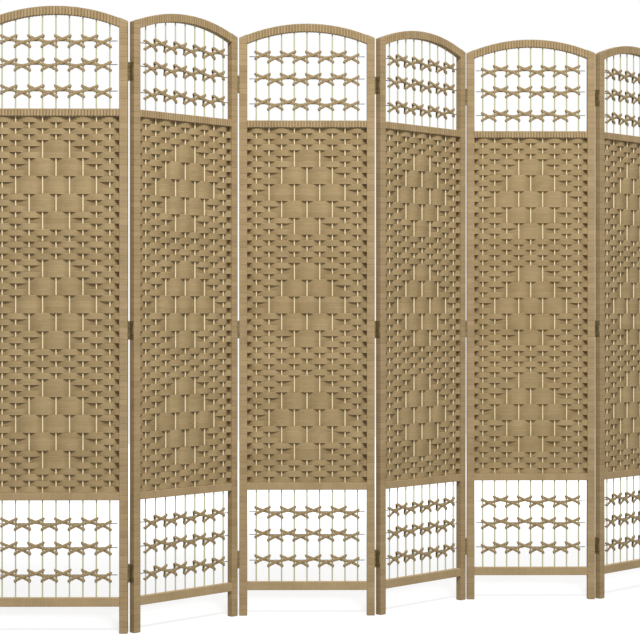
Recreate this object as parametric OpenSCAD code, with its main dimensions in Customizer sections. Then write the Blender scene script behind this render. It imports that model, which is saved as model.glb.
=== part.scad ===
// Folding screen of six hinged panels, with arched heads, a woven diamond mat
// in each panel and a knotted cord lattice above and below the mat.
// Millimetres. The screen stands on the plane z = 0, its front faces -Y, and
// the origin is the middle of its footprint. Panel 1 is at the left.

/* [Panels] */
// Width of one panel over both stiles
panel_w = 400; // [340:5:520]
// Angle between one panel and the next, where 0 is flat
fold_angle = 46; // [10:1:120]

/* [Frame] */
// Width of a stile, seen from the front
stile_w = 23; // [18:1:40]
// Thickness of the frame from front to back
stile_t = 20; // [15:0.5:30]
// Rounding of the frame's upright edges
edge_r = 1.25; // [1:0.25:4]
// Height of the arch's crown above its outer ends
arch_rise = 43; // [30:1:70]
// Depth of the arched head rail
arch_d = 25; // [18:1:40]
// Thickness of the straight rails from front to back
rail_t = 18; // [12:0.5:20]
// Height of the rail above the mat
head_rail_h = 21; // [15:1:40]
// Height of the rail below the mat
mid_rail_h = 22; // [15:1:40]
// Height of the bottom rail
foot_rail_h = 25; // [18:1:50]
// Height of the feet below the bottom rail
leg_h = 75; // [40:5:150]

/* [Windows] */
// Height of the open window below the mat
low_window_h = 271; // [200:1:350]
// Height of the open window above the mat, at the crown of the arch
top_window_h = 262; // [200:1:330]

/* [Rods] */
// Diameter of the upright rods
rod_d = 4; // [3:0.1:5]
// Distance from one rod to the next
rod_pitch = 37.5; // [30:0.5:38]
// Gap between a rod and what it passes through
rod_fit = 0.25; // [0.15:0.05:0.4]
// Depth of the blind holes that hold the rod ends
rod_seat = 8; // [4:1:14]

/* [Woven mat] */
// Number of woven bands in the mat
row_count = 63; // [43:1:70]
// Height taken by one band
row_pitch = 16.65; // [14:0.05:20]
// Gap between one band and the next
row_gap = 0.3; // [0.2:0.05:1]
// Thickness of a band
band_t = 2; // [1:0.1:3]
// Gap between a band and the rod that it bends round
band_fit = 0.3; // [0.2:0.05:0.6]
// How far a band's end stands in front of the rods or behind them
band_end = 5; // [3:0.5:5.5]
// First row of the upper diamond
diamond_start = 4; // [0:2:10]
// Rows from one diamond to the next
diamond_step = 20; // [16:2:24]

/* [Lattice] */
// Height of a lattice cord's section
cord_w = 7; // [4:0.5:8]
// Thickness of a lattice cord
cord_t = 2; // [1.2:0.1:2.2]
// Diameter of the cross wires
wire_d = 2.4; // [1:0.1:3]
// Gap between the ends of a wire and the stiles
wire_end = 6; // [2:0.5:12]
// Share of the top window, at its first rod, below the lowest lattice row
top_first_share = 0.21; // [0.18:0.01:0.25]
// Share of the top window, at its first rod, below the highest lattice row
top_last_share = 0.8; // [0.74:0.01:0.82]
// Share of the lower window below the lowest lattice row
low_first_share = 0.23; // [0.18:0.01:0.25]
// Share of the lower window below the highest lattice row
low_last_share = 0.76; // [0.74:0.01:0.82]
// Place of the middle lattice row between the other two
middle_row = 0.53; // [0.48:0.01:0.55]

/* [Hinges] */
// Height of a hinge
hinge_h = 50; // [40:1:70]
// Gap between two panels that lie flat
hinge_gap = 3.6; // [3.2:0.1:6]
// Thickness of a hinge leaf
leaf_t = 1.3; // [1:0.1:1.5]
// Outer diameter of the knuckle
knuckle_d = 5.2; // [4.6:0.1:5.6]
// Diameter of the hinge pin
pin_d = 2.6; // [2:0.1:3]
// Distance from the frame's face to the axis of the pin
pin_off = 1.5; // [1.5:0.1:3]
// Height of the middle of the lowest hinge
low_hinge_z = 166; // [110:1:220]
// From the top of a stile down to the middle of the top hinge
top_hinge_drop = 121; // [80:1:200]

/* [Hidden] */
$fn = 48;
panels = 6;
rods = 9;
diamonds = 3;
group_rows = 3;
groups = 5;
laced_from_right = [2, 4, 5, 6];
end_fit = 0.3;
pin_fit = 0.15;
knuckle_fit = 0.3;
cord_fit = 0.3;
cord_lift = 14;
cord_drop = 17;
cord_last = 6;
cord_past = 2.4;
turn_share = 0.57;
leaf_gap = 3;
head_over = 0.9;
head_h = 1.2;

wood = [0.66, 0.56, 0.41];
fibre = [0.70, 0.60, 0.45];
reed = [0.86, 0.80, 0.63];
twine = [0.62, 0.52, 0.35];
steel = [0.60, 0.60, 0.62];
bronze = [0.36, 0.29, 0.14];

// Heights, stacked from the floor up
foot_rail_top = leg_h + foot_rail_h;
mid_rail_z = foot_rail_top + low_window_h;
mat_z = mid_rail_z + mid_rail_h;
mat_top = mat_z + row_count * row_pitch;
head_rail_top = mat_top + head_rail_h;
screen_h = head_rail_top + top_window_h + arch_d;

// The arch, as rings about one centre
outer_r = (pow(panel_w / 2, 2) + pow(arch_rise, 2)) / (2 * arch_rise);
inner_r = outer_r - arch_d;
arch_zc = screen_h - outer_r;
function under_z(x) = arch_zc + sqrt(pow(inner_r, 2) - pow(x - panel_w / 2, 2));
stile_h = under_z(stile_w);

rod_r = rod_d / 2;
mid_rod = (rods + 1) / 2;
inner_w = panel_w - 2 * stile_w;
function rod_x(i) = panel_w / 2 + (i - mid_rod) * rod_pitch;

// The hinges, seen from above: panel k and panel k + 1 share pin k
pin_y = stile_t / 2 + pin_off;
function pin_side(k) = k % 2 == 1 ? 1 : -1;
function heading(k) = (k % 2 == 1 ? -1 : 1) * fold_angle / 2;
function turned(a, p) = [p.x * cos(a) - p.y * sin(a), p.x * sin(a) + p.y * cos(a)];
function pin_right(k) = [panel_w + hinge_gap / 2, pin_side(k) * pin_y];
function pin_left(k) = [-hinge_gap / 2, pin_side(k - 1) * pin_y];
function base(k) = k == 1 ? [0, 0]
    : base(k - 1) + turned(heading(k - 1), pin_right(k - 1)) - turned(heading(k), pin_left(k));
function pin_at(k) = base(k) + turned(heading(k), pin_right(k));
corner_ys = [for (k = [1 : panels], x = [edge_r, panel_w - edge_r], s = [-1, 1], e = [-1, 1])
    (base(k) + turned(heading(k), [x, s * (stile_t / 2 - edge_r)])).y + e * edge_r];
middle = [pin_at(panels / 2).x, (min(corner_ys) + max(corner_ys)) / 2];
hinge_zs = [low_hinge_z, stile_h / 2, stile_h - top_hinge_drop];

module place(k) {
    p = base(k) - middle;
    translate([p.x, p.y, 0]) rotate([0, 0, heading(k)]) children();
}

// The lattice of a panel is laced from its left stile or from its right one
module laced(k) {
    if (len(search(k, laced_from_right)) == 0) children();
    else translate([panel_w, 0, 0]) mirror([1, 0, 0]) children();
}

// Frame

module rounded_plan(w, t, r) {
    square([w - 2 * r, t], center = true);
    square([w, t - 2 * r], center = true);
    for (x = [-1, 1], y = [-1, 1]) translate([x * (w / 2 - r), y * (t / 2 - r)]) circle(r);
}

module stile() {
    translate([stile_w / 2, 0, 0]) linear_extrude(height = stile_h)
        rounded_plan(stile_w, stile_t, edge_r);
}

module rod_holes(z, h) {
    for (i = [1 : rods]) translate([rod_x(i), 0, z]) cylinder(h = h, r = rod_r + rod_fit);
}

module arch() {
    difference() {
        intersection() {
            translate([panel_w / 2, stile_t / 2, arch_zc]) rotate([90, 0, 0])
                linear_extrude(height = stile_t) difference() {
                    circle(outer_r, $fn = 200);
                    circle(inner_r, $fn = 200);
                }
            translate([panel_w / 2, 0, stile_h]) linear_extrude(height = screen_h - stile_h + 1)
                rounded_plan(panel_w, stile_t, edge_r);
        }
        for (i = [1 : rods]) translate([rod_x(i), 0, under_z(rod_x(i)) - rod_seat])
            cylinder(h = 2 * rod_seat + rod_fit, r = rod_r + rod_fit);
    }
}

module rail(z, h) {
    translate([stile_w, -rail_t / 2, z]) cube([inner_w, rail_t, h]);
}

module rails() {
    difference() {
        rail(mat_top, head_rail_h);
        rod_holes(mat_top - 1, head_rail_h + 2);
    }
    difference() {
        rail(mid_rail_z, mid_rail_h);
        rod_holes(mid_rail_z - 1, mid_rail_h + 2);
    }
    difference() {
        rail(leg_h, foot_rail_h);
        rod_holes(foot_rail_top - rod_seat - rod_fit, rod_seat + rod_fit + 1);
    }
}

module rod_set() {
    z = foot_rail_top - rod_seat;
    for (i = [1 : rods]) translate([rod_x(i), 0, z])
        cylinder(h = under_z(rod_x(i)) + rod_seat - z, r = rod_r);
}

// Woven mat. A rod is in front of a band or behind it. Plain rows alternate.
// In a diamond the middle row of each group of three repeats its neighbours,
// so the rods show as long strokes and the bands float between them.

function diamond_row(row) = (row - diamond_start) % diamond_step;
function in_diamond(row) = row >= diamond_start
    && row < diamond_start + diamonds * diamond_step
    && diamond_row(row) < groups * group_rows;
function reach(row) = let (g = floor(diamond_row(row) / group_rows)) 1 + min(g, groups - 1 - g);
function rod_in_front(row, i) =
    in_diamond(row) && abs(i - mid_rod) <= reach(row)
        ? abs(i - mid_rod) % 2 == reach(row) % 2
        : (i + row) % 2 == 0;
function band_side(row, i) = rod_in_front(row, i) ? 1 : -1;

band_a = rod_r + band_fit + band_t / 2;

function band_line(row) = concat(
    [[stile_w + end_fit, -band_side(row, 1) * band_end]],
    [for (i = [1 : rods]) [rod_x(i), band_side(row, i) * band_a]],
    [[panel_w - stile_w - end_fit, -band_side(row, rods) * band_end]]);

module band(row) {
    line = band_line(row);
    last = len(line) - 1;
    translate([0, 0, mat_top - (row + 1) * row_pitch + row_gap / 2])
        linear_extrude(height = row_pitch - row_gap)
            polygon(concat([for (p = line) p - [0, band_t / 2]],
                           [for (n = [last : -1 : 0]) line[n] + [0, band_t / 2]]));
}

module mat() {
    for (row = [0 : row_count - 1]) band(row);
}

// Lattice. Two cords run along each wire. One turns round the odd rods and
// the other, in front of it, round the even rods, and they cross in each bay.

wire_y = rod_r + rod_fit + wire_d / 2;
back_y = wire_y + wire_d / 2 + cord_fit + cord_t / 2;
inner_y = -(rod_r + cord_fit + cord_t / 2);
outer_y = inner_y - cord_t - cord_fit;
turn_x = rod_r + cord_fit + cord_t / 2;
turn_w = turn_share * cord_w;

function row_zs(low, high, first, last) =
    [for (share = [first, first + middle_row * (last - first), last]) low + share * (high - low)];
lattice_zs = concat(row_zs(head_rail_top, under_z(rod_x(1)), top_first_share, top_last_share),
                    row_zs(foot_rail_top, mid_rail_z, low_first_share, low_last_share));

// A flat length of cord from one point [x, z] to another, and a little past both
module strand(a, b, y) {
    d = b - a;
    translate([(a.x + b.x) / 2, y, (a.y + b.y) / 2]) rotate([0, -atan2(d.y, d.x), 0])
        cube([norm(d) + 2 * cord_past, cord_t, cord_w], center = true);
}

// The turn of a cord beside a rod, from the front length to the back one
module turn(p, y) {
    translate([p.x - cord_t / 2, y, p.y - turn_w / 2]) cube([cord_t, back_y - y, turn_w]);
}

// One cord through the points where it meets rods, as pairs: where a stretch
// starts, at the left of its rod, and where it ends, at the right of its rod
module cord(starts, ends, y) {
    for (n = [0 : len(starts) - 1]) {
        strand(starts[n], ends[n], y);
        turn(starts[n], y);
        turn(ends[n], y);
        if (n > 0) strand(ends[n - 1], starts[n], back_y);
    }
}

module odd_cord() {
    cord([for (i = [1 : 2 : rods - 2]) [rod_x(i) - turn_x, cord_lift]],
         [for (i = [3 : 2 : rods]) [rod_x(i) + turn_x, -cord_drop]], inner_y);
}

module even_cord() {
    cord(concat([[rod_x(1) - turn_x, -cord_lift / 2]],
                [for (i = [2 : 2 : rods - 1]) [rod_x(i) - turn_x, -cord_drop]]),
         concat([for (i = [2 : 2 : rods - 1]) [rod_x(i) + turn_x, cord_lift]],
                [[rod_x(rods) + turn_x, cord_last]]), outer_y);
}

module cord_set() {
    for (z = lattice_zs) translate([0, 0, z]) {
        odd_cord();
        even_cord();
    }
}

module wire_set() {
    for (z = lattice_zs) translate([stile_w + wire_end, wire_y, z]) rotate([0, 90, 0])
        cylinder(h = inner_w - 2 * wire_end, d = wire_d);
}

// Hinges, drawn about the axis of the pin, with the leaf on the side of -x
// and reaching to -y. The outer knuckles go with one leaf, the middle one
// with the other.

knuckle_h = hinge_h / 4;
leaf_far = pin_off + stile_t - leaf_gap;
leaf_near = knuckle_d / 2 + knuckle_fit;
waist_in = 3.5;

module leaf_outline() {
    polygon([[0, 0], [leaf_far, 0], [leaf_far, knuckle_h], [leaf_far - waist_in, knuckle_h + waist_in],
             [leaf_far - waist_in, hinge_h - knuckle_h - waist_in], [leaf_far, hinge_h - knuckle_h],
             [leaf_far, hinge_h], [0, hinge_h]]);
}

// zs lists the bottom and top of each knuckle, and cuts those of each notch
module leaf(zs, cuts) {
    difference() {
        union() {
            translate([leaf_t - hinge_gap / 2, 0, 0]) rotate([90, 0, 0]) rotate([0, -90, 0])
                linear_extrude(height = leaf_t) difference() {
                    leaf_outline();
                    for (c = cuts) translate([-1, c[0]]) square([leaf_near + 1, c[1] - c[0]]);
                }
            for (z = zs) translate([0, 0, z[0]]) cylinder(h = z[1] - z[0], d = knuckle_d);
        }
        translate([0, 0, -1]) cylinder(h = hinge_h + 2, d = pin_d + 2 * pin_fit);
    }
}

module outer_leaf() {
    leaf([[0, knuckle_h], [hinge_h - knuckle_h, hinge_h]], [[knuckle_h, hinge_h - knuckle_h]]);
}

module middle_leaf() {
    low = knuckle_h + knuckle_fit;
    high = hinge_h - knuckle_h - knuckle_fit;
    leaf([[low, high]], [[-1, low], [high, hinge_h + 1]]);
}

// Turns a leaf drawn as above to the side of the frame that its pin is on
module to_side(s) {
    if (s == 1) children();
    else mirror([0, 1, 0]) children();
}

module leaf_set(k) {
    for (z = hinge_zs) translate([0, 0, z - hinge_h / 2]) {
        if (k < panels) translate([pin_right(k).x, pin_right(k).y, 0])
            to_side(pin_side(k)) outer_leaf();
        if (k > 1) translate([pin_left(k).x, pin_left(k).y, 0])
            to_side(pin_side(k - 1)) mirror([1, 0, 0]) middle_leaf();
    }
}

module pin_set(k) {
    for (z = hinge_zs) translate([pin_right(k).x, pin_right(k).y, z - hinge_h / 2]) {
        cylinder(h = hinge_h, d = pin_d);
        for (e = [-head_h, hinge_h]) translate([0, 0, e]) cylinder(h = head_h, d = pin_d + 2 * head_over);
    }
}

// Each separate piece in its place

module left_stile(k) { color(wood) place(k) stile(); }
module right_stile(k) { color(wood) place(k) translate([panel_w, 0, 0]) mirror([1, 0, 0]) stile(); }
module head_arch(k) { color(wood) place(k) arch(); }
module cross_rails(k) { color(wood) place(k) rails(); }
module upright_rods(k) { color(reed) place(k) rod_set(); }
module woven_mat(k) { color(fibre) place(k) mat(); }
module lattice_cords(k) { color(twine) place(k) laced(k) cord_set(); }
module lattice_wires(k) { color(steel) place(k) wire_set(); }
module hinge_leaves(k) { color(bronze) place(k) leaf_set(k); }
module hinge_pins(k) { color(bronze) place(k) pin_set(k); }

module left_stile_1() { left_stile(1); }
module right_stile_1() { right_stile(1); }
module arch_1() { head_arch(1); }
module rails_1() { cross_rails(1); }
module rods_1() { upright_rods(1); }
module woven_mat_1() { woven_mat(1); }
module lattice_cords_1() { lattice_cords(1); }
module lattice_wires_1() { lattice_wires(1); }
module hinge_leaves_1() { hinge_leaves(1); }
module hinge_pins_1() { hinge_pins(1); }
module left_stile_2() { left_stile(2); }
module right_stile_2() { right_stile(2); }
module arch_2() { head_arch(2); }
module rails_2() { cross_rails(2); }
module rods_2() { upright_rods(2); }
module woven_mat_2() { woven_mat(2); }
module lattice_cords_2() { lattice_cords(2); }
module lattice_wires_2() { lattice_wires(2); }
module hinge_leaves_2() { hinge_leaves(2); }
module hinge_pins_2() { hinge_pins(2); }
module left_stile_3() { left_stile(3); }
module right_stile_3() { right_stile(3); }
module arch_3() { head_arch(3); }
module rails_3() { cross_rails(3); }
module rods_3() { upright_rods(3); }
module woven_mat_3() { woven_mat(3); }
module lattice_cords_3() { lattice_cords(3); }
module lattice_wires_3() { lattice_wires(3); }
module hinge_leaves_3() { hinge_leaves(3); }
module hinge_pins_3() { hinge_pins(3); }
module left_stile_4() { left_stile(4); }
module right_stile_4() { right_stile(4); }
module arch_4() { head_arch(4); }
module rails_4() { cross_rails(4); }
module rods_4() { upright_rods(4); }
module woven_mat_4() { woven_mat(4); }
module lattice_cords_4() { lattice_cords(4); }
module lattice_wires_4() { lattice_wires(4); }
module hinge_leaves_4() { hinge_leaves(4); }
module hinge_pins_4() { hinge_pins(4); }
module left_stile_5() { left_stile(5); }
module right_stile_5() { right_stile(5); }
module arch_5() { head_arch(5); }
module rails_5() { cross_rails(5); }
module rods_5() { upright_rods(5); }
module woven_mat_5() { woven_mat(5); }
module lattice_cords_5() { lattice_cords(5); }
module lattice_wires_5() { lattice_wires(5); }
module hinge_leaves_5() { hinge_leaves(5); }
module hinge_pins_5() { hinge_pins(5); }
module left_stile_6() { left_stile(6); }
module right_stile_6() { right_stile(6); }
module arch_6() { head_arch(6); }
module rails_6() { cross_rails(6); }
module rods_6() { upright_rods(6); }
module woven_mat_6() { woven_mat(6); }
module lattice_cords_6() { lattice_cords(6); }
module lattice_wires_6() { lattice_wires(6); }
module hinge_leaves_6() { hinge_leaves(6); }

left_stile_1();
right_stile_1();
arch_1();
rails_1();
rods_1();
woven_mat_1();
lattice_cords_1();
lattice_wires_1();
hinge_leaves_1();
hinge_pins_1();
left_stile_2();
right_stile_2();
arch_2();
rails_2();
rods_2();
woven_mat_2();
lattice_cords_2();
lattice_wires_2();
hinge_leaves_2();
hinge_pins_2();
left_stile_3();
right_stile_3();
arch_3();
rails_3();
rods_3();
woven_mat_3();
lattice_cords_3();
lattice_wires_3();
hinge_leaves_3();
hinge_pins_3();
left_stile_4();
right_stile_4();
arch_4();
rails_4();
rods_4();
woven_mat_4();
lattice_cords_4();
lattice_wires_4();
hinge_leaves_4();
hinge_pins_4();
left_stile_5();
right_stile_5();
arch_5();
rails_5();
rods_5();
woven_mat_5();
lattice_cords_5();
lattice_wires_5();
hinge_leaves_5();
hinge_pins_5();
left_stile_6();
right_stile_6();
arch_6();
rails_6();
rods_6();
woven_mat_6();
lattice_cords_6();
lattice_wires_6();
hinge_leaves_6();
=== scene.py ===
"""The looks of the folding screen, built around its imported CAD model.

Metres. Each piece is drawn in the frame of its own panel, where x runs from the
left stile to the right one, y from the front to the back and z up. It is then
set in the row frame. The sizes repeat those of the CAD source.
"""

import math

import bpy
import numpy as np
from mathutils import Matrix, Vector


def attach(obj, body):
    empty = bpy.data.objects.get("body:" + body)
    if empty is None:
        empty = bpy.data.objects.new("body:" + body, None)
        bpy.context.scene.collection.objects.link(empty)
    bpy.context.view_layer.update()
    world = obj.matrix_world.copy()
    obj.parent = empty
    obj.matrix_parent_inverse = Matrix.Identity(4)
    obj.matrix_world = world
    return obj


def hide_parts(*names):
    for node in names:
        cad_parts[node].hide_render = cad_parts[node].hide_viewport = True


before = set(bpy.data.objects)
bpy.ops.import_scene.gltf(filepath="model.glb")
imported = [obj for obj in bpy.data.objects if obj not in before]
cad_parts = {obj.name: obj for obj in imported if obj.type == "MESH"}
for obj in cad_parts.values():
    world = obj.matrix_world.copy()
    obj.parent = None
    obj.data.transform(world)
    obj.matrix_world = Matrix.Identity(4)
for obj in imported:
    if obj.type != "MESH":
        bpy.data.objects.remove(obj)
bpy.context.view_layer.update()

MM = 0.001
SEED = 20


# Sizes of the CAD model

PANELS = 6
PANEL_W = 400 * MM
FOLD = 46
STILE_W = 23 * MM
STILE_T = 20 * MM
EDGE_R = 1.25 * MM
ARCH_RISE = 43 * MM
ARCH_D = 25 * MM
RAIL_T = 18 * MM
HEAD_RAIL_H = 21 * MM
MID_RAIL_H = 22 * MM
FOOT_RAIL_H = 25 * MM
LEG_H = 75 * MM
LOW_WINDOW_H = 271 * MM
TOP_WINDOW_H = 262 * MM

RODS = 9
MID_ROD = 5
ROD_R = 2 * MM
ROD_PITCH = 37.5 * MM

ROW_COUNT = 63
ROW_PITCH = 16.65 * MM
BAND_T = 2 * MM
BAND_FIT = 0.3 * MM
BAND_END = 5 * MM
DIAMOND_START = 4
DIAMOND_STEP = 20
DIAMONDS = 3
GROUP_ROWS = 3
GROUPS = 5

CORD_W = 7 * MM
CORD_LIFT = 14 * MM
CORD_DROP = 17 * MM
CORD_LAST = 6 * MM
TOP_ROWS = (0.21, 0.8)
LOW_ROWS = (0.23, 0.76)
MIDDLE_ROW = 0.53
LACED_FROM_RIGHT = (2, 4, 5, 6)

HINGE_GAP = 3.6 * MM
LEAF_T = 1.3 * MM
PIN_OFF = 1.5 * MM
LOW_HINGE_Z = 166 * MM
TOP_HINGE_DROP = 121 * MM

FOOT_RAIL_TOP = LEG_H + FOOT_RAIL_H
MID_RAIL_Z = FOOT_RAIL_TOP + LOW_WINDOW_H
MAT_Z = MID_RAIL_Z + MID_RAIL_H
MAT_TOP = MAT_Z + ROW_COUNT * ROW_PITCH
HEAD_RAIL_TOP = MAT_TOP + HEAD_RAIL_H
SCREEN_H = HEAD_RAIL_TOP + TOP_WINDOW_H + ARCH_D

OUTER_R = ((PANEL_W / 2) ** 2 + ARCH_RISE**2) / (2 * ARCH_RISE)
INNER_R = OUTER_R - ARCH_D
ARCH_ZC = SCREEN_H - OUTER_R


def over_z(x):
    """Top of the arch at x."""
    return ARCH_ZC + np.sqrt(OUTER_R**2 - (x - PANEL_W / 2) ** 2)


def under_z(x):
    """Underside of the arch at x."""
    return ARCH_ZC + np.sqrt(INNER_R**2 - (x - PANEL_W / 2) ** 2)


STILE_H = float(under_z(STILE_W))
INNER_LEFT = STILE_W
INNER_RIGHT = PANEL_W - STILE_W


def rod_x(i):
    return PANEL_W / 2 + (i - MID_ROD) * ROD_PITCH


# Where each panel stands

PIN_Y = STILE_T / 2 + PIN_OFF


def heading(k):
    return math.radians(FOLD / 2) * (-1 if k % 2 else 1)


def pin_side(k):
    return 1 if k % 2 else -1


def turned(angle, point):
    c, s = math.cos(angle), math.sin(angle)
    return np.array([c * point[0] - s * point[1], s * point[0] + c * point[1]])


def pin_right(k):
    return np.array([PANEL_W + HINGE_GAP / 2, pin_side(k) * PIN_Y])


def pin_left(k):
    return np.array([-HINGE_GAP / 2, pin_side(k - 1) * PIN_Y])


def panel_bases():
    """Where the left front corner of each panel's frame lies, as seen from above."""
    bases = {1: np.zeros(2)}
    for k in range(2, PANELS + 1):
        pin = bases[k - 1] + turned(heading(k - 1), pin_right(k - 1))
        bases[k] = pin - turned(heading(k), pin_left(k))
    corners = [
        bases[k][1] + turned(heading(k), (x, side * (STILE_T / 2 - EDGE_R)))[1] + edge * EDGE_R
        for k in bases
        for x in (EDGE_R, PANEL_W - EDGE_R)
        for side in (-1, 1)
        for edge in (-1, 1)
    ]
    middle_pin = bases[PANELS // 2] + turned(heading(PANELS // 2), pin_right(PANELS // 2))
    middle = np.array([middle_pin[0], (min(corners) + max(corners)) / 2])
    return {k: bases[k] - middle for k in bases}


BASES = panel_bases()


def in_row(points, k):
    """Points of panel k, given in its own frame, in the row frame."""
    c, s = math.cos(heading(k)), math.sin(heading(k))
    x, y = BASES[k]
    turn = np.array([[c, -s, 0], [s, c, 0], [0, 0, 1]])
    return points @ turn.T + np.array([x, y, 0])


# Meshes, made of closed lofts

FLAT_ANGLE = math.radians(50)


def loft_faces(rings, around, start):
    """Quads between rings, and a face over each end."""
    ring = np.arange(rings - 1)[:, None] * around
    here = np.arange(around)[None, :]
    after = (here + 1) % around
    quads = np.stack([ring + here, ring + after, ring + around + after, ring + around + here], -1)
    last = (rings - 1) * around
    quads = (quads.reshape(-1, 4) + start).tolist()
    low_end = [start + n for n in reversed(range(around))]
    high_end = [start + last + n for n in range(around)]
    return quads + [low_end, high_end]


def points_inwards(rings):
    """True if a loft's faces, as loft_faces makes them, point into it."""
    a, b = rings[:-1], np.roll(rings[:-1], -1, axis=1)
    c, d = np.roll(rings[1:], -1, axis=1), rings[1:]
    centre = rings.reshape(-1, 3).mean(0)
    a, b, c, d = (p - centre for p in (a, b, c, d))
    volume = (np.cross(a, b) * c).sum() + (np.cross(a, c) * d).sum()
    return volume < 0


class Shape:
    """One piece as closed lofts, with what its material reads at each point:
    lay, the place in the panel's frame or along a cord; tint, from about -1
    to 1, which on a stile's sides also holds painted shade; and the painted
    shade of grooves, recesses and turns behind rods, from 0 on a strand to 1
    or more between strands."""

    def __init__(self):
        self.points, self.lay, self.tint, self.groove_shade = [], [], [], []
        self.faces = []
        self.creased = []
        self.size = 0

    def loft(self, rings, tint=0.0, groove_shade=0.0, lay=None, creased=False):
        faces = loft_faces(rings.shape[0], rings.shape[1], self.size)
        if points_inwards(rings):
            faces = [face[::-1] for face in faces]
        shape = rings.shape[:2]
        self.faces += faces
        self.points.append(rings.reshape(-1, 3))
        self.lay.append((rings if lay is None else lay).reshape(-1, 3))
        self.tint.append(np.broadcast_to(tint, shape).ravel())
        self.groove_shade.append(np.broadcast_to(groove_shade, shape).ravel())
        self.creased.append(np.broadcast_to(creased, shape).ravel())
        self.size += shape[0] * shape[1]

    def mesh(self, name, k):
        mesh = bpy.data.meshes.new(name)
        mesh.from_pydata(in_row(np.concatenate(self.points), k).tolist(), [], self.faces)
        mesh.shade_smooth()
        mesh.set_sharp_from_angle(angle=FLAT_ANGLE)
        self.crease(mesh)
        lay = mesh.attributes.new("lay", "FLOAT_VECTOR", "POINT")
        lay.data.foreach_set("vector", np.concatenate(self.lay).astype(np.float32).ravel())
        for label, values in (("tint", self.tint), ("groove_shade", self.groove_shade)):
            layer = mesh.attributes.new(label, "FLOAT", "POINT")
            layer.data.foreach_set("value", np.concatenate(values).astype(np.float32))
        mesh.validate()
        return mesh

    def crease(self, mesh):
        """Makes the lines between strands sharp: the edges whose points are both creased."""
        creased = np.concatenate(self.creased)
        if not creased.any():
            return
        ends = np.zeros(len(mesh.edges) * 2, np.int32)
        mesh.edges.foreach_get("vertices", ends)
        ends = ends.reshape(-1, 2)
        sharp = np.zeros(len(mesh.edges), bool)
        layer = mesh.attributes.get("sharp_edge")
        if layer is None:
            layer = mesh.attributes.new("sharp_edge", "BOOLEAN", "EDGE")
        layer.data.foreach_get("value", sharp)
        sharp |= creased[ends[:, 0]] & creased[ends[:, 1]]
        layer.data.foreach_set("value", sharp)


def add_piece(name, shape, k, material, nodes=()):
    mesh = shape.mesh(f"{name}_{k}", k)
    mesh.materials.append(material)
    piece = bpy.data.objects.new(f"{name}_{k}", mesh)
    bpy.context.scene.collection.objects.link(piece)
    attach(piece, f"panel_{k}")
    if nodes:
        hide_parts(*nodes)
    return piece


# Materials


def srgb(red, green, blue):
    """A colour as an image shows it, from 0 to 255, as the shaders take it."""

    def linear(v):
        v /= 255
        return v / 12.92 if v <= 0.04045 else ((v + 0.055) / 1.055) ** 2.4

    return (linear(red), linear(green), linear(blue), 1.0)


class Graph:
    """A material's node tree, with a short way to add nodes."""

    def __init__(self, name):
        self.material = bpy.data.materials.new(name)
        self.material.use_nodes = True
        self.tree = self.material.node_tree
        self.shader = self.tree.nodes["Principled BSDF"]

    def add(self, kind, inputs=None, **settings):
        """Adds a node. inputs gives each socket, by name or number, a value or another node's
        output."""
        node = self.tree.nodes.new(kind)
        for key, value in settings.items():
            setattr(node, key, value)
        for key, value in (inputs or {}).items():
            self.put(node.inputs[key], value)
        return node

    def put(self, socket, value):
        if isinstance(value, bpy.types.NodeSocket):
            self.tree.links.new(value, socket)
        else:
            socket.default_value = value

    def set(self, **values):
        """Sets the shader's sockets, where an underscore stands for a space."""
        for key, value in values.items():
            self.put(self.shader.inputs[key.replace("_", " ")], value)

    def place(self):
        return self.add("ShaderNodeTexCoord").outputs["Object"]

    def attribute(self, name, output):
        return self.add("ShaderNodeAttribute", attribute_name=name).outputs[output]

    def math(self, operation, a, b=0.0, c=0.0):
        return self.add("ShaderNodeMath", {0: a, 1: b, 2: c}, operation=operation).outputs[0]

    def half_each(self, a, b):
        return self.math("MULTIPLY_ADD", a, 0.5, self.math("MULTIPLY", b, 0.5))

    def stretched(self, vector, scale):
        inputs = {0: vector, 1: scale}
        return self.add("ShaderNodeVectorMath", inputs, operation="MULTIPLY").outputs[0]

    def noise(self, vector, scale=1.0, detail=2.0, roughness=0.5):
        inputs = {"Vector": vector, "Scale": scale, "Detail": detail, "Roughness": roughness}
        return self.add("ShaderNodeTexNoise", inputs).outputs["Fac"]

    def spread(self, value, low=0.3, high=0.7):
        """value taken from low..high to 0..1, and held there."""
        inputs = {"Value": value, "From Min": low, "From Max": high}
        return self.add("ShaderNodeMapRange", inputs).outputs["Result"]

    def mix(self, factor, a, b):
        node = self.add("ShaderNodeMix", data_type="RGBA")
        self.put(node.inputs["Factor"], factor)
        colours = [s for s in node.inputs if s.type == "RGBA"]
        self.put(colours[0], a)
        self.put(colours[1], b)
        return next(s for s in node.outputs if s.type == "RGBA")

    def bump(self, height, distance):
        inputs = {"Height": height, "Distance": distance, "Strength": 1.0}
        return self.add("ShaderNodeBump", inputs).outputs["Normal"]


# Patterns, in cycles per metre. The streaks of twine run along its strands.
ALONG_STRAND = 45
ACROSS_STRAND = 700
PATCH = 16
CORD_FIBRES = (260, 900, 7)
CORD_PATCHES = (25, 60, 3)
ROD_GRAIN = (900, 900, 22)
ROD_CLOUDS = (40, 40, 9)
WIRE_STAINS = (60, 60, 400)
BRONZE_CLOUDS = 180

# The shade of twine, from 0 for dark to 1 for light, and how far each pattern moves it
BASE_SHADE = 0.3
STREAK_SHARE = 0.45
PATCH_SHARE = 0.4
TINT_SHARE = 0.35

# How far the painted shade of grooves takes the colour towards the twine's shade colour
GROOVE_SHADE_SHARE = 0.62
CORD_GROOVE_SHADE_SHARE = 0.35

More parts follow.
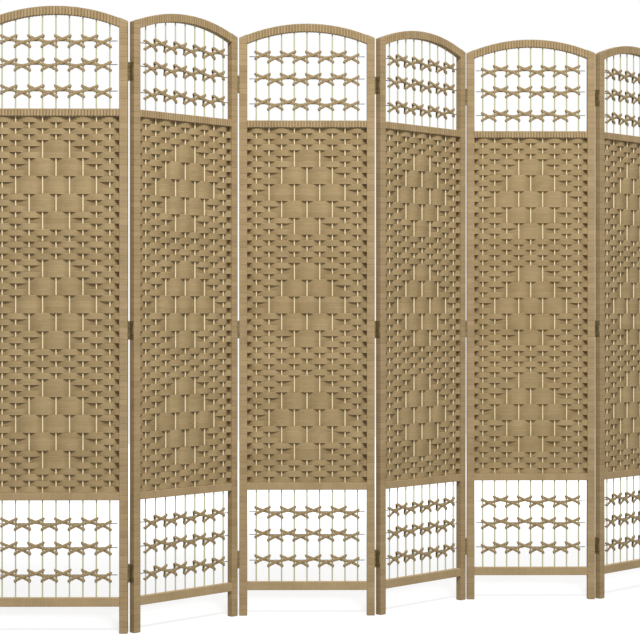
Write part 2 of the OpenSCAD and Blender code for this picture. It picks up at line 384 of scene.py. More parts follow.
PAPER_SPECULAR = 0.25
TWIST_PITCH = 1.7 * MM
STRANDS = 5
STRAND_PITCH = ROW_PITCH / STRANDS
STREAK_HEIGHT = 1.2
TWIST_HEIGHT = 0.35
TWINE_BUMP = 0.12 * MM
CORD_BUMP = 0.15 * MM
GRAIN_BUMP = 0.1 * MM
BRONZE_BUMP = 0.05 * MM
# The distance over which the rod's painted shade fades in at the mat's edges
ROD_SHADE_FADE = 8 * MM
WORN_EDGE = (0.52, 0.6)


def twine(name, across, light, dark, shade_colour):
    """Paper twine laid side by side. across is the axis of the lay, 0 or 2, that crosses the
    strands."""
    g = Graph(name)
    lay = g.attribute("lay", "Vector")
    scale = [ALONG_STRAND] * 3
    scale[across] = ACROSS_STRAND
    streaks = g.noise(g.stretched(lay, scale), detail=3.0, roughness=0.6)
    patches = g.noise(lay, scale=PATCH, detail=3.0)
    shade = g.math("MULTIPLY_ADD", g.spread(streaks, 0.25, 0.75), STREAK_SHARE, -STREAK_SHARE / 2)
    shade = g.math("MULTIPLY_ADD", g.spread(patches), PATCH_SHARE, shade)
    shade = g.math("ADD", shade, BASE_SHADE)
    # The tint holds random tone, and painted shade on a stile's sides
    shade = g.math("MULTIPLY_ADD", g.attribute("tint", "Fac"), TINT_SHARE, shade)
    colour = g.mix(g.math("MINIMUM", g.math("MAXIMUM", shade, 0.0), 1.0), dark, light)
    # Painted shade: grooves, recesses and a stile's sides go towards the shade colour
    colour = g.mix(g.math("MULTIPLY", g.attribute("groove_shade", "Fac"), GROOVE_SHADE_SHARE), colour, shade_colour)
    g.set(Base_Color=colour, Roughness=0.82, Specular_IOR_Level=PAPER_SPECULAR)
    g.set(Normal=twist_bump(g, lay, across, streaks))
    return g.material


def twist_bump(g, lay, across, streaks):
    """The slanting lines of twisted paper, with the finer lines of its fibres."""
    axes = g.add("ShaderNodeSeparateXYZ", {0: lay}).outputs
    along = axes[2] if across == 0 else axes[0]
    slant = g.math("MULTIPLY", axes[across], 1 / STRAND_PITCH)
    turns = g.math("MULTIPLY_ADD", along, 1 / TWIST_PITCH, slant)
    ridge = g.math("SINE", g.math("MULTIPLY", turns, 2 * math.pi))
    ridge = g.math("MULTIPLY", ridge, TWIST_HEIGHT)
    return g.bump(g.math("MULTIPLY_ADD", streaks, STREAK_HEIGHT, ridge), TWINE_BUMP)


def twisted_cord(name, light, dark, shade_colour):
    """The thicker cord of the lattice. Its lay is (along, around, number of the cord)."""
    g = Graph(name)
    lay = g.attribute("lay", "Vector")
    fibres = g.noise(g.stretched(lay, CORD_FIBRES), detail=3.0, roughness=0.6)
    patches = g.noise(g.stretched(lay, CORD_PATCHES), detail=2.0)
    colour = g.mix(g.half_each(g.spread(fibres), patches), dark, light)
    # Painted shade in the hollows of the twist and where the cord turns behind a rod
    groove_shade = g.math("MULTIPLY", g.attribute("groove_shade", "Fac"), CORD_GROOVE_SHADE_SHARE)
    g.set(Base_Color=g.mix(groove_shade, colour, shade_colour), Roughness=0.85)
    g.set(Specular_IOR_Level=PAPER_SPECULAR, Normal=g.bump(fibres, CORD_BUMP))
    return g.material


def pale_rod(name, light, dark, shaded_window_light, shaded_window_dark):
    """Peeled rod with a straight grain along z. Above and below the mat it is greener, and
    darker with painted shade."""
    g = Graph(name)
    place = g.place()
    grain = g.noise(g.stretched(place, ROD_GRAIN), detail=3.0, roughness=0.6)
    clouds = g.noise(g.stretched(place, ROD_CLOUDS), detail=2.0)
    shade = g.half_each(g.spread(grain), clouds)
    height = g.add("ShaderNodeSeparateXYZ", {0: place}).outputs[2]
    from_middle = g.math("ABSOLUTE", g.math("SUBTRACT", height, (MAT_Z + MAT_TOP) / 2))
    half = (MAT_TOP - MAT_Z) / 2
    # Painted shade: above and below the mat the rod takes its darker window colours
    outside = g.spread(from_middle, half - ROD_SHADE_FADE, half + ROD_SHADE_FADE)
    colour = g.mix(outside, g.mix(shade, dark, light), g.mix(shade, shaded_window_dark, shaded_window_light))
    g.set(Base_Color=colour, Roughness=0.6, Normal=g.bump(grain, GRAIN_BUMP))
    return g.material


def steel_wire(name, light, dark):
    g = Graph(name)
    stains = g.noise(g.stretched(g.place(), WIRE_STAINS), detail=3.0)
    g.set(Base_Color=g.mix(g.spread(stains, 0.35, 0.7), light, dark), Metallic=0.85)
    g.set(Roughness=g.math("MULTIPLY_ADD", stains, 0.25, 0.25))
    return g.material


def dark_bronze(name, light, dark):
    """Lacquered bronze, brighter where hands and edges rub it."""
    g = Graph(name)
    clouds = g.noise(g.place(), scale=BRONZE_CLOUDS, detail=4.0, roughness=0.6)
    edges = g.add("ShaderNodeNewGeometry").outputs["Pointiness"]
    worn = g.math("MULTIPLY", g.spread(edges, *WORN_EDGE), g.spread(clouds, 0.35, 0.65))
    shade = g.math("MULTIPLY_ADD", worn, 0.6, g.math("MULTIPLY", clouds, 0.4))
    g.set(Base_Color=g.mix(shade, dark, light), Metallic=0.5)
    g.set(Roughness=g.math("MULTIPLY_ADD", clouds, 0.3, 0.3), Normal=g.bump(clouds, BRONZE_BUMP))
    return g.material


# The third colour of each twine is the one that its painted shade goes towards
WOUND = {"light": srgb(193, 168, 128), "dark": srgb(160, 137, 99), "shade_colour": srgb(88, 64, 34)}
WOUND_UPRIGHT = twine("wound_upright", 2, **WOUND)
WOUND_ACROSS = twine("wound_across", 0, **WOUND)
MAT_TWINE = twine(
    "mat_twine", 2, light=srgb(193, 170, 128), dark=srgb(160, 139, 100), shade_colour=srgb(96, 63, 8)
)
CORD_TWINE = twisted_cord(
    "cord_twine", light=srgb(182, 160, 120), dark=srgb(146, 124, 86), shade_colour=srgb(84, 66, 40)
)
ROD_WOOD = pale_rod(
    "rod_wood",
    light=srgb(246, 234, 196),
    dark=srgb(228, 211, 167),
    # The window colours are greener and carry painted shade
    shaded_window_light=srgb(202, 204, 166),
    shaded_window_dark=srgb(187, 186, 144),
)
WIRE_STEEL = steel_wire("wire_steel", light=srgb(100, 98, 98), dark=srgb(62, 60, 60))
HINGE_BRONZE = dark_bronze("hinge_bronze", light=srgb(160, 144, 106), dark=srgb(94, 79, 46))


# The wound frame

CORNER_POINTS = 4
FLAT_SHARE = 0.8


def rounded_outline(half_w, half_h, radius):
    """A rectangle with round corners, as points (a, b), with one more point each side of every
    corner so that the flats shade flat."""
    flat = FLAT_SHARE * radius
    outline = []
    for n, (sx, sy) in enumerate([(1, 1), (-1, 1), (-1, -1), (1, -1)]):
        centre = np.array([sx * (half_w - radius), sy * (half_h - radius)])
        angles = math.pi / 2 * (n + np.linspace(0, 1, CORNER_POINTS))
        arc = centre + radius * np.stack([np.cos(angles), np.sin(angles)], -1)
        into = np.array([math.cos(angles[0]), math.sin(angles[0])])
        away = np.array([math.cos(angles[-1]), math.sin(angles[-1])])
        outline += [arc[0] - flat * away, *arc, arc[-1] - flat * into]
    return np.array(outline)


# A winding as seen along the member: (place in the band from 0 to 1, depth, painted shade)
STRAND_DIP = 0.12 * MM
# The painted shade in the valleys between strands
STRAND_SHADE = 0.45
FLAT_BAND = [(0.0, 0.4 * MM, 1.0), (0.025, STRAND_DIP, 0.5)]
for n in range(1, 2 * STRANDS):
    dip_and_shade = (STRAND_DIP, STRAND_SHADE) if n % 2 == 0 else (0.0, 0.0)
    FLAT_BAND.append((n / (2 * STRANDS), *dip_and_shade))
FLAT_BAND += [(0.975, STRAND_DIP, 0.5)]

RIB = [(0.0, 1.2 * MM, 1.0), (0.07, 0.85 * MM, 0.8), (0.16, 0.3 * MM, 0.3)]
RIB += [(0.3, 0.05 * MM, 0.0), (0.5, 0.0, 0.0), (0.7, 0.05 * MM, 0.0)]
RIB += [(0.84, 0.3 * MM, 0.3), (0.93, 0.85 * MM, 0.8)]

FINE_STRAND = [(0.0, 0.16 * MM, 0.6), (0.3, 0.02 * MM, 0.0), (0.7, 0.02 * MM, 0.0)]

RIB_PITCH = 8.85 * MM
FINE_PITCH = 2.95 * MM

# How far the tint of one band of the winding may differ from the next
STILE_SPREAD = 0.55
RIB_SPREAD = 0.5
FINE_SPREAD = 0.25

# The tint that a whole member is moved by
ARCH_TONE = -0.25
HEAD_RAIL_TONE = -0.2
MID_RAIL_TONE = 0.0
FOOT_RAIL_TONE = 0.5


def winding(start, end, bands, section, rng, spread):
    """The stations of a winding from start to end: place, depth, painted shade and tint of each."""
    tints = rng.uniform(-spread, spread, bands + 1)
    stations = [
        (start + (end - start) * (n + place) / bands, depth, groove_shade, tints[n])
        for n in range(bands)
        for place, depth, groove_shade in section
    ]
    stations.append((end, section[0][1], section[0][2], tints[-1]))
    return np.array(stations).T


FOOT_ROUND = 1.2 * MM
SIDE_PROUD = 0.4 * MM
# Painted shade on a stile's two sides: a darker tint, and some of the shade colour
SIDE_SHADE_TINT = -0.6
SIDE_SHADE = 0.15


def stile_plan(inset):
    """A stile's outline as seen from above. The twine stands a little proud of its two sides."""
    return rounded_outline(STILE_W / 2 + SIDE_PROUD - inset, STILE_T / 2 - inset, EDGE_R)


def add_wound_upright(shape, rings, tint, groove_shade):
    """Adds a stile's loft. Its sides, which face a neighbour or a window, get painted shade."""
    plan = stile_plan(0)
    on_side = np.abs(plan[:, 0]) > np.abs(plan[:, 0]).max() - EDGE_R / 2
    tint = tint[:, None] + SIDE_SHADE_TINT * on_side
    groove_shade = np.maximum(groove_shade[:, None], SIDE_SHADE * on_side)
    shape.loft(np.array(rings), tint=tint, groove_shade=groove_shade)


def wound_stile(x_mid, rng):
    """A stile from the floor to the arch, with horizontal flat bands of five strands."""
    bands = round(STILE_H / ROW_PITCH)
    z, depth, groove_shade, tint = winding(0.0, STILE_H, bands, FLAT_BAND, rng, STILE_SPREAD)
    depth[0] = FOOT_ROUND
    z[1] = max(z[1], FOOT_ROUND)
    rings = []
    for height, inset in zip(z, depth):
        plan = stile_plan(inset)
        rings.append(np.column_stack([plan[:, 0] + x_mid, plan[:, 1], np.full(len(plan), height)]))
    shape = Shape()
    add_wound_upright(shape, rings, tint, groove_shade)
    return shape


def wound_bar(shape, edges, half_t, winds, rng):
    """A bar between the stiles whose winding lies in planes of constant x. edges gives its lower
    and its upper edge at x."""
    low, high = edges
    section, pitch, spread, tone = winds
    bands = round((INNER_RIGHT - INNER_LEFT) / pitch)
    x, depth, groove_shade, tint = winding(INNER_LEFT, INNER_RIGHT, bands, section, rng, spread)
    rings = []
    for place, inset in zip(x, depth):
        bottom, top = float(low(place)) + inset, float(high(place)) - inset
        outline = rounded_outline(half_t - inset, (top - bottom) / 2, EDGE_R)
        across = np.full(len(outline), place)
        rings.append(np.column_stack([across, outline[:, 0], outline[:, 1] + (top + bottom) / 2]))
    shape.loft(np.array(rings), tint=tint[:, None] + tone, groove_shade=groove_shade[:, None])


CAP_ROUND = 1.0 * MM
ARCH_SINK = 1.0 * MM
HEAD_BANDS = 2


def stile_head(shape, x_mid, rng):
    """The top of a stile, cut along the curve of the arch."""
    share, depth, groove_shade, tint = winding(0.0, 1.0, HEAD_BANDS, FLAT_BAND, rng, STILE_SPREAD)
    last = len(share) - 1
    rings = []
    for n, (t, inset) in enumerate(zip(share, depth)):
        inset = CAP_ROUND if n == last else inset
        plan = stile_plan(inset)
        x = plan[:, 0] + x_mid
        z = STILE_H + (over_z(np.clip(x, 0, PANEL_W)) - STILE_H) * t
        rings.append(np.column_stack([x, plan[:, 1], z]))
    add_wound_upright(shape, rings, tint, groove_shade)


def wound_arch(rng):
    shape = Shape()
    winds = (RIB, RIB_PITCH, RIB_SPREAD, ARCH_TONE)
    wound_bar(shape, (under_z, lambda x: over_z(x) - ARCH_SINK), STILE_T / 2, winds, rng)
    for x_mid in (STILE_W / 2, PANEL_W - STILE_W / 2):
        stile_head(shape, x_mid, rng)
    return shape


def wound_rails(rng):
    """The rail over the mat, with broad ribs, and the two lower ones, with fine strands."""
    shape = Shape()
    bars = [
        (MAT_TOP, HEAD_RAIL_TOP, (RIB, RIB_PITCH, RIB_SPREAD, HEAD_RAIL_TONE)),
        (MID_RAIL_Z, MAT_Z, (FINE_STRAND, FINE_PITCH, FINE_SPREAD, MID_RAIL_TONE)),
        (LEG_H, FOOT_RAIL_TOP, (FINE_STRAND, FINE_PITCH, FINE_SPREAD, FOOT_RAIL_TONE)),
    ]
    for low, high, winds in bars:
        edges = (lambda x, z=low: z, lambda x, z=high: z)
        wound_bar(shape, edges, RAIL_T / 2, winds, rng)
    return shape


def add_frame(k, rng):
    for side, x_mid in (("left", STILE_W / 2), ("right", PANEL_W - STILE_W / 2)):
        stile = wound_stile(x_mid, rng)
        name = f"{side}_stile"
        add_piece(f"{name}_winding", stile, k, WOUND_UPRIGHT, [f"{name}_{k}"])
    add_piece("arch_winding", wound_arch(rng), k, WOUND_ACROSS, [f"arch_{k}"])
    add_piece("rail_winding", wound_rails(rng), k, WOUND_ACROSS, [f"rails_{k}"])


# The woven mat

# Where a band's rings lie between two rods, and how much of the way it keeps straight at each end
SPAN_PLACES = np.array([0, 0.14, 0.32, 0.5, 0.68, 0.86])
SPAN_FLAT = 0.1

STRAND_CREST = BAND_T / 2
STRAND_VALLEY = 0.62 * MM

# How far a band stands out beyond the solid: at a rod, at a stile, and between two rods that it
# passes on the same side
BAND_SPRING = 0.5 * MM
END_SPRING = 1.0 * MM
FLOAT_BULGE = 0.7 * MM

BAND_WOBBLE = 0.15 * MM
WOBBLE_KNOTS = 8
BAND_OVERLAP = 1.4 * MM
BAND_TUCK = 0.4 * MM
BAND_TINT = 0.5
OFF_SPREAD = 0.03

# The painted shade in the grooves between strands, and at a band's lower and upper edge
STRAND_GROOVE_SHADE = 0.6
LOW_EDGE_SHADE = 0.3
TOP_EDGE_SHADE = 1.5

# How far the face falls back where the upper edge stands open: at the edge and on the top strand
EDGE_OPEN = 0.9
TOP_OPEN = 0.35
EDGE_KNOTS = 14
EDGE_SPREAD = (-0.8, 1.2)
EDGE_PLACE = 0.05

# Where a band lies this far behind the mat's middle plane it grows darker with painted shade
RECESS_START = 0.8 * MM
RECESS_DEEP = 2.4 * MM
RECESS_SHADE = 0.5


def in_diamond(row):
    step = row - DIAMOND_START
    return 0 <= step < DIAMONDS * DIAMOND_STEP and step % DIAMOND_STEP < GROUPS * GROUP_ROWS


def reach(row):
    """How many rods a diamond covers on each side of the middle one, in this row."""
    group = (row - DIAMOND_START) % DIAMOND_STEP // GROUP_ROWS
    return 1 + min(group, GROUPS - 1 - group)


def rod_in_front(row, i):
    if in_diamond(row) and abs(i - MID_ROD) <= reach(row):
        return abs(i - MID_ROD) % 2 == reach(row) % 2
    return (i + row) % 2 == 0


def band_path(row, rng):
    """Middle of a band as x and y. It bends smoothly from one side of a rod to the other side of
    the next."""
    side = [1 if rod_in_front(row, i) else -1 for i in range(1, RODS + 1)]
    off = ROD_R + BAND_FIT + BAND_T / 2 + BAND_SPRING
    end_off = BAND_END + END_SPRING
    xs = [INNER_LEFT - BAND_TUCK, *[rod_x(i) for i in range(1, RODS + 1)], INNER_RIGHT + BAND_TUCK]
    ys = [s * off * rng.uniform(1 - OFF_SPREAD, 1 + OFF_SPREAD) for s in side]
    ys = [-side[0] * end_off, *ys, -side[-1] * end_off]
    x, y = [], []
    for n in range(len(xs) - 1):
        last = n == len(xs) - 2
        t = np.append(SPAN_PLACES, 1.0) if last else SPAN_PLACES
        x.append(xs[n] + (xs[n + 1] - xs[n]) * t)
        bend = np.clip((t - SPAN_FLAT) / (1 - 2 * SPAN_FLAT), 0, 1)
        span = ys[n] + (ys[n + 1] - ys[n]) * (1 - np.cos(math.pi * bend)) / 2
        if ys[n] * ys[n + 1] > 0:
            span += math.copysign(FLOAT_BULGE, ys[n]) * np.sin(math.pi * t)
        y.append(span)
    return np.concatenate(x), np.concatenate(y)


def band_section(x, rng):
    """Around a band at each x: distance from its middle face, height from 0 to 1, and painted
    shade. Its upper edge lies close under the band above in some places and stands back in
    others."""
    places = np.arange(1, 2 * STRANDS) / (2 * STRANDS)
    crest = np.arange(1, 2 * STRANDS) % 2 == 1
    stations = np.ones((len(x), 1))
    strands = stations * np.where(crest, STRAND_CREST, STRAND_VALLEY)
    lines = stations * np.where(crest, 0.0, STRAND_GROOVE_SHADE)
    gap = open_edge(x, rng)[:, None]
    strands[:, -1:] *= 1 - TOP_OPEN * gap
    face = np.hstack([STRAND_CREST * stations, strands, STRAND_CREST * (1 - EDGE_OPEN * gap)])
    lines = np.hstack([LOW_EDGE_SHADE * stations, lines, TOP_EDGE_SHADE * gap])
    height = np.concatenate([[0, EDGE_PLACE], places, [1 - EDGE_PLACE]])
    height = np.concatenate([height, [1], height[:0:-1]])
    off = np.hstack([0 * stations, -face, 0 * stations, face[:, ::-1]])
    groove_shade = np.hstack([stations, lines, stations, lines[:, ::-1]])
    return off, height, groove_shade


def open_edge(x, rng):
    """How far a band's upper edge stands back at each x, from 0 to 1."""
    knots = np.linspace(x[0], x[-1], EDGE_KNOTS)
    return np.clip(np.interp(x, knots, rng.uniform(*EDGE_SPREAD, EDGE_KNOTS)), 0, 1)


def recess(off, y):
    """How far each point of a band's faces lies behind the side that it faces, from 0 to 1."""
    behind = -np.sign(off) * y[:, None] - RECESS_START
    return np.clip(behind / RECESS_DEEP, 0, 1)


def woven_band(shape, row, rng):
    x, y = band_path(row, rng)
    slope = np.gradient(y, x)
    length = np.sqrt(1 + slope**2)
    off, height, groove_shade = band_section(x, rng)
    # Painted shade where a band's face lies back behind the mat's middle plane
    groove_shade = np.maximum(groove_shade, RECESS_SHADE * recess(off, y))
    low = MAT_TOP - (row + 1) * ROW_PITCH - (0 if row == ROW_COUNT - 1 else BAND_OVERLAP / 2)
    high = MAT_TOP - row * ROW_PITCH + (0 if row == 0 else BAND_OVERLAP / 2)
    knots = np.linspace(x[0], x[-1], WOBBLE_KNOTS)
    wobble = np.interp(x, knots, rng.uniform(-BAND_WOBBLE, BAND_WOBBLE, WOBBLE_KNOTS))
    rings = np.empty((*off.shape, 3))
    rings[..., 0] = x[:, None] - (slope / length)[:, None] * off
    rings[..., 1] = y[:, None] + (1 / length)[:, None] * off
    rings[..., 2] = low + height * (high - low) + wobble[:, None]
    creased = np.isin(np.round(height * 2 * STRANDS, 6), np.arange(0, 2 * STRANDS + 1, 2))
    tint = rng.uniform(-BAND_TINT, BAND_TINT)
    shape.loft(rings, tint=tint, groove_shade=groove_shade, creased=creased[None, :])


def add_mat(k, rng):
    shape = Shape()
    for row in range(ROW_COUNT):
        woven_band(shape, row, rng)
    add_piece("mat", shape, k, MAT_TWINE, [f"woven_mat_{k}"])


# The cord lattice

CORD_PLUMP = 1.18
CORD_T = 3.2 * MM
WRAP = ROD_R + CORD_T / 2
ODD_CROSS_Y = -(WRAP - CORD_T / 2)
EVEN_CROSS_Y = -(WRAP + CORD_T / 2)

# The bends of a cord's path, and how high it crosses the other cord
TURN_BEND = 3.4 * MM
CROSS_BEND = 9 * MM
CROSS_HIGH = 4 * MM
CROSS_LOW = -5 * MM
CORD_STEP = 1.6 * MM

# Behind a rod a cord is narrower and thicker, and darker with painted shade
TURN_RUN = 5 * MM
TURN_W = 0.55
TURN_T = 1.6
TURN_SHADE = 1.8
TURN_BACK = ROD_R + TURN_T * CORD_T / 2
TURN_FROM = -0.4
TURN_TO = 0.6

# How much and how near a rod turns the cord's flat side away from it
HUG = 0.6
HUG_REACH = 5 * MM

CORD_JITTER = 0.5 * MM
CORD_POINTS = 12
CORD_TWIST = 9 * MM
TWIST_DEPTH = 0.07
TIP_SIZE = 0.75
CORD_SQUARE = 0.7
BEND_POINTS = 7
SAME_PLACE = 1e-6


def row_heights(low, high, shares):
    """The three lattice rows of the window from low to high."""
    first, last = shares
    middle = first + MIDDLE_ROW * (last - first)
    return [low + share * (high - low) for share in (first, middle, last)]


def lattice_heights():
    top_rows = row_heights(HEAD_RAIL_TOP, float(under_z(rod_x(1))), TOP_ROWS)
    return top_rows + row_heights(FOOT_RAIL_TOP, MID_RAIL_Z, LOW_ROWS)


def odd_cord():
    """The rods where each stretch of the cord starts and ends, with the heights, and where it
    crosses the other cord."""
    starts = [(i, CORD_LIFT) for i in range(1, RODS - 1, 2)]
    ends = [(i, -CORD_DROP) for i in range(3, RODS + 1, 2)]
    return starts, ends, ODD_CROSS_Y


def even_cord():
    even = range(2, RODS, 2)
    starts = [(1, -CORD_LIFT / 2)] + [(i, -CORD_DROP) for i in even]
    ends = [(i, CORD_LIFT) for i in even] + [(RODS, CORD_LAST)]
    return starts, ends, EVEN_CROSS_Y


def cord_corners(cord, z, rng):
    """The corners of a cord, each with the length that its bend takes. Each stretch comes round
    the left of a rod, passes in front of the bays and goes round the right of another, then up or
    down behind that rod."""
    starts, ends, cross_y = cord
    corners = [(rod_x(starts[0][0]), WRAP, z + starts[0][1], TURN_BEND)]
    for n, (start, end) in enumerate(zip(starts, ends)):
        if n > 0:
            behind = (rod_x(start[0]), TURN_BACK)
            last_height, next_height = corners[-1][2], z + start[1]
            run = math.copysign(TURN_RUN, next_height - last_height)
            corners.append((*behind, last_height + run, TURN_BEND))
            corners.append((*behind, next_height - run, TURN_BEND))
        height = z + start[1] + rng.uniform(-CORD_JITTER, CORD_JITTER)
        x = rod_x(start[0]) - WRAP
        corners += [(x, WRAP, height, TURN_BEND), (x, -WRAP, height, TURN_BEND)]
        corners += crossings(start[0], end[0], z, cross_y)
        height = z + end[1] + rng.uniform(-CORD_JITTER, CORD_JITTER)
        x = rod_x(end[0]) + WRAP
        corners += [(x, -WRAP, height, TURN_BEND), (x, WRAP, height, TURN_BEND)]
    corners.append((rod_x(ends[-1][0]), WRAP, z + ends[-1][1], TURN_BEND))
    return np.array(corners)


def crossings(first, last, z, cross_y):
    """Where a stretch crosses the other cord, high in the odd bays and low in the even ones, and
    where it passes in front of a rod between two bays."""
    corners = []
    for i in range(first, last):
        if i > first:
            corners.append((rod_x(i), -WRAP, z + (CROSS_HIGH + CROSS_LOW) / 2, CROSS_BEND))
        height = CROSS_HIGH if i % 2 else CROSS_LOW
        corners.append(((rod_x(i) + rod_x(i + 1)) / 2, cross_y, z + height, CROSS_BEND))
    return corners


def rounded_path(corners, step):
    """Points about a step apart along a line through corners, with each corner rounded."""
    bends, corners = corners[:, 3], corners[:, :3]
    dense = [corners[0]]
    for before, corner, after, bend in zip(corners, corners[1:], corners[2:], bends[1:]):
        come, go = corner - before, after - corner
        a = corner - come * min(bend / np.linalg.norm(come), 0.5)
        b = corner + go * min(bend / np.linalg.norm(go), 0.5)
        for t in np.linspace(0, 1, BEND_POINTS):
            dense.append((1 - t) ** 2 * a + 2 * t * (1 - t) * corner + t**2 * b)
    dense.append(corners[-1])
    dense = np.array(dense)
    far = np.concatenate([[0], np.cumsum(np.linalg.norm(np.diff(dense, axis=0), axis=1))])
    keep = np.concatenate([[True], np.diff(far) > SAME_PLACE])
    along = np.linspace(0, far[-1], int(far[-1] / step))
    path = np.stack([np.interp(along, far[keep], dense[keep, n]) for n in range(3)], -1)
    return path, along


def unit(vectors):
    return vectors / np.linalg.norm(vectors, axis=1)[:, None]


def away_from_rod(path):
    """Away from the nearest rod near it, and to the front or back elsewhere: that is the way a
    cord's flat side faces."""
    nearest = np.clip(np.round((path[:, 0] - rod_x(1)) / ROD_PITCH), 0, RODS - 1)
    x = path[:, 0] - (rod_x(1) + nearest * ROD_PITCH)
    return unit(np.stack([x * np.exp(-((x / HUG_REACH) ** 2)), path[:, 1], np.zeros(len(x))], -1))


def squarer(values):
    """A sine or cosine bent so that it draws a rounded rectangle."""
    return np.sign(values) * np.abs(values) ** CORD_SQUARE


def flat_cord(shape, path, along, number, flip):
    """A flattened, twisted cord. It is narrower and thicker where it turns behind a rod, and
    painted shade darkens it there.
    """
    tangent = unit(np.gradient(path, axis=0))
    wide = unit(np.cross(np.cross(tangent, [0, 0, 1]) + HUG * away_from_rod(path), tangent))
    out = np.cross(tangent, wide)
    angle = np.linspace(0, 2 * math.pi, CORD_POINTS, endpoint=False)[None, :]
    phase = 2 * math.pi * along[:, None] / CORD_TWIST
    ridge = np.cos(2 * angle - phase)
    size = 1 + TWIST_DEPTH * ridge
    size[0], size[-1] = TIP_SIZE, TIP_SIZE
    turning = np.clip(path[:, 1:2] / WRAP, TURN_FROM, TURN_TO) - TURN_FROM
    half_w = CORD_W / 2 * CORD_PLUMP * (1 - (1 - TURN_W) * turning)
    half_t = CORD_T / 2 * (1 + (TURN_T - 1) * turning)
    across = squarer(np.cos(angle)) * half_w * size
    thick = squarer(np.sin(angle)) * half_t * size
    rings = path[:, None, :] + wide[:, None, :] * across[..., None]
    rings += out[:, None, :] * thick[..., None]
    if flip:
        rings[..., 0] = PANEL_W - rings[..., 0]
    lay = np.stack(np.broadcast_arrays(along[:, None], angle * CORD_W / math.pi, number), -1)
    # Painted shade in the twist's hollows, and more where the cord turns behind a rod
    shape.loft(rings, groove_shade=np.clip(-ridge, 0, 1) + TURN_SHADE * turning, lay=lay)


def add_lattice(k, rng):
    shape = Shape()
    number = 0
    for z in lattice_heights():
        for cord in (odd_cord(), even_cord()):
            path, along = rounded_path(cord_corners(cord, z, rng), CORD_STEP)
            flat_cord(shape, path, along, float(number), k in LACED_FROM_RIGHT)
            number += 1
    add_piece("lattice", shape, k, CORD_TWINE, [f"lattice_cords_{k}"])


# Hinge screws

SCREW_R = 2.8 * MM
SCREW_PROUD = 0.45 * MM
SCREW_DROP = 18.75 * MM
SCREW_Y = 0.9 * MM
SCREW_POINTS = 32
CROSS_DEPTH = 0.6 * MM
CROSS_W = 0.4
CROSS_REACH = 0.6
SCREW_RINGS = [(0.12, 1.0), (0.5, 0.97), (0.62, 0.9), (0.85, 0.7), (1.0, 0.25), (1.0, 0.0)]
HINGE_ZS = [LOW_HINGE_Z, STILE_H / 2, STILE_H - TOP_HINGE_DROP]


def screw_head(shape, face_x, outwards, y, z):
    """A domed head with a cross recess, on a leaf whose face is at face_x."""
    angle = np.linspace(0, 2 * math.pi, SCREW_POINTS, endpoint=False)
    in_cross = np.abs(np.sin(2 * angle)) < CROSS_W
    rings = []
    for share, height in SCREW_RINGS:
        depth = np.where(in_cross & (share < CROSS_REACH), CROSS_DEPTH, 0)
        x = face_x + outwards * (SCREW_PROUD * height - depth)
        radius = SCREW_R * share
        rings.append(np.column_stack([x, y + radius * np.cos(angle), z + radius * np.sin(angle)]))
    shape.loft(np.array(rings))


def add_screws(k):
    shape = Shape()
    for z in HINGE_ZS:
        for dz in (-SCREW_DROP, SCREW_DROP):
            if k < PANELS:
                screw_head(shape, PANEL_W + LEAF_T, 1, SCREW_Y * pin_side(k), z + dz)
            if k > 1:
                screw_head(shape, -LEAF_T, -1, SCREW_Y * pin_side(k - 1), z + dz)
    add_piece("hinge_screws", shape, k, HINGE_BRONZE)


# CAD nodes that stay


def finish_node(name, material):
    for material_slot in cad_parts[name].material_slots:
        material_slot.material = material


def finish_nodes(k):
    finish_node(f"rods_{k}", ROD_WOOD)
    finish_node(f"lattice_wires_{k}", WIRE_STEEL)
    finish_node(f"hinge_leaves_{k}", HINGE_BRONZE)
    if k < PANELS:
        finish_node(f"hinge_pins_{k}", HINGE_BRONZE)


# Floor, light and camera

AMBIENT = 0.38
KEY_FROM = (-1.25, -4.7, 5.9)
LAMPS_AIM = (0, 0, 0.9)
KEY_SIZE = 1.6
KEY_WATTS = 425
BACK_FROM = (1.6, 4.8, 4.4)
BACK_SIZE = 2.4
BACK_WATTS = 190
FLOOR_HALF = 7
FLOOR_COLOUR = (0.42, 0.42, 0.42, 1)

# The floor's glow near the object. It grows to 1 between these two distances from the middle.
FLOOR_GLOW = 0.64
FADE_FROM = 1.8
FADE_TO = 4.5

CAMERA_AT = (-2.2634, -4.8553, 0.8835)
CAMERA_TURN = -23.540
CAMERA_LENS = 100.36
SENSOR_W = 36
CAMERA_SHIFT_Y = -0.0055


def seen_directly(tree):
    """1 for a ray from the camera, from a mirror-like surface or through glass, else 0."""
    path = tree.nodes.new("ShaderNodeLightPath")
    total = path.outputs["Is Camera Ray"]
    for name in ("Is Glossy Ray", "Is Transmission Ray"):
        larger = tree.nodes.new("ShaderNodeMath")
        larger.operation = "MAXIMUM"
        tree.links.new(total, larger.inputs[0])
        tree.links.new(path.outputs[name], larger.inputs[1])
        total = larger.outputs[0]
    return total


def add_world():
    world = bpy.data.worlds.new("studio")
    bpy.context.scene.world = world
    world.use_nodes = True
    tree = world.node_tree
    tree.nodes.clear()
    white, soft = (tree.nodes.new("ShaderNodeBackground") for _ in range(2))
    white.inputs["Strength"].default_value = 1.0
    soft.inputs["Strength"].default_value = AMBIENT
    for background in (white, soft):
        background.inputs["Color"].default_value = (1, 1, 1, 1)
    mix = tree.nodes.new("ShaderNodeMixShader")
    tree.links.new(seen_directly(tree), mix.inputs[0])
    tree.links.new(soft.outputs[0], mix.inputs[1])
    tree.links.new(white.outputs[0], mix.inputs[2])
    output = tree.nodes.new("ShaderNodeOutputWorld")
    tree.links.new(mix.outputs[0], output.inputs["Surface"])


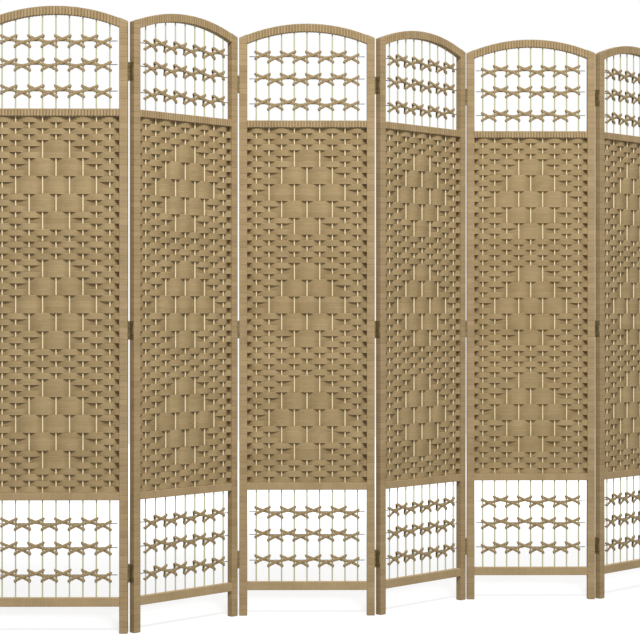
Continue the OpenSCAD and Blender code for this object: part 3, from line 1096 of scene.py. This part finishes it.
def floor_material():
    """Pale and matt. To the camera it glows a little, so that it looks white where no shadow
    falls. Far from the object it glows more, so that its edge doesn't show."""
    material = bpy.data.materials.new("floor")
    material.use_nodes = True
    tree = material.node_tree
    tree.nodes.clear()
    matt = tree.nodes.new("ShaderNodeBsdfDiffuse")
    matt.inputs["Color"].default_value = FLOOR_COLOUR
    glow = tree.nodes.new("ShaderNodeEmission")
    place = tree.nodes.new("ShaderNodeTexCoord")
    distance = tree.nodes.new("ShaderNodeVectorMath")
    distance.operation = "LENGTH"
    tree.links.new(place.outputs["Object"], distance.inputs[0])
    fade = tree.nodes.new("ShaderNodeMapRange")
    tree.links.new(distance.outputs["Value"], fade.inputs["Value"])
    fade.inputs["From Min"].default_value = FADE_FROM
    fade.inputs["From Max"].default_value = FADE_TO
    fade.inputs["To Min"].default_value = FLOOR_GLOW
    fade.inputs["To Max"].default_value = 1.0
    strength = tree.nodes.new("ShaderNodeMath")
    strength.operation = "MULTIPLY"
    tree.links.new(seen_directly(tree), strength.inputs[0])
    tree.links.new(fade.outputs["Result"], strength.inputs[1])
    tree.links.new(strength.outputs[0], glow.inputs["Strength"])
    total = tree.nodes.new("ShaderNodeAddShader")
    tree.links.new(matt.outputs[0], total.inputs[0])
    tree.links.new(glow.outputs[0], total.inputs[1])
    output = tree.nodes.new("ShaderNodeOutputMaterial")
    tree.links.new(total.outputs[0], output.inputs["Surface"])
    return material


def add_floor():
    corners = [(x * FLOOR_HALF, y * FLOOR_HALF, 0) for x, y in ((-1, -1), (1, -1), (1, 1), (-1, 1))]
    mesh = bpy.data.meshes.new("floor")
    mesh.from_pydata(corners, [], [(0, 1, 2, 3)])
    mesh.materials.append(floor_material())
    floor = bpy.data.objects.new("floor", mesh)
    bpy.context.scene.collection.objects.link(floor)


def add_lamp(name, place, size, watts):
    """A soft round lamp at place, aimed at the middle of the screen."""
    light = bpy.data.lights.new(name, "AREA")
    light.shape = "DISK"
    light.size = size
    light.energy = watts
    lamp = bpy.data.objects.new(name, light)
    lamp.location = place
    beam = Vector(LAMPS_AIM) - Vector(place)
    lamp.rotation_euler = beam.to_track_quat("-Z", "Y").to_euler()
    lamp.visible_camera = False
    bpy.context.scene.collection.objects.link(lamp)


def add_camera():
    data = bpy.data.cameras.new("camera")
    data.lens = CAMERA_LENS
    data.sensor_width = SENSOR_W
    data.shift_y = CAMERA_SHIFT_Y
    camera = bpy.data.objects.new("camera", data)
    camera.location = CAMERA_AT
    camera.rotation_euler = (math.radians(90), 0, math.radians(CAMERA_TURN))
    bpy.context.scene.collection.objects.link(camera)
    bpy.context.scene.camera = camera


add_camera()
add_world()
add_floor()
add_lamp("key", KEY_FROM, KEY_SIZE, KEY_WATTS)
add_lamp("back", BACK_FROM, BACK_SIZE, BACK_WATTS)
bpy.context.scene.view_settings.view_transform = "Standard"

for panel in range(1, PANELS + 1):
    dice = np.random.default_rng(SEED + panel)
    add_frame(panel, dice)
    add_mat(panel, dice)
    add_lattice(panel, dice)
    add_screws(panel)
    finish_nodes(panel)
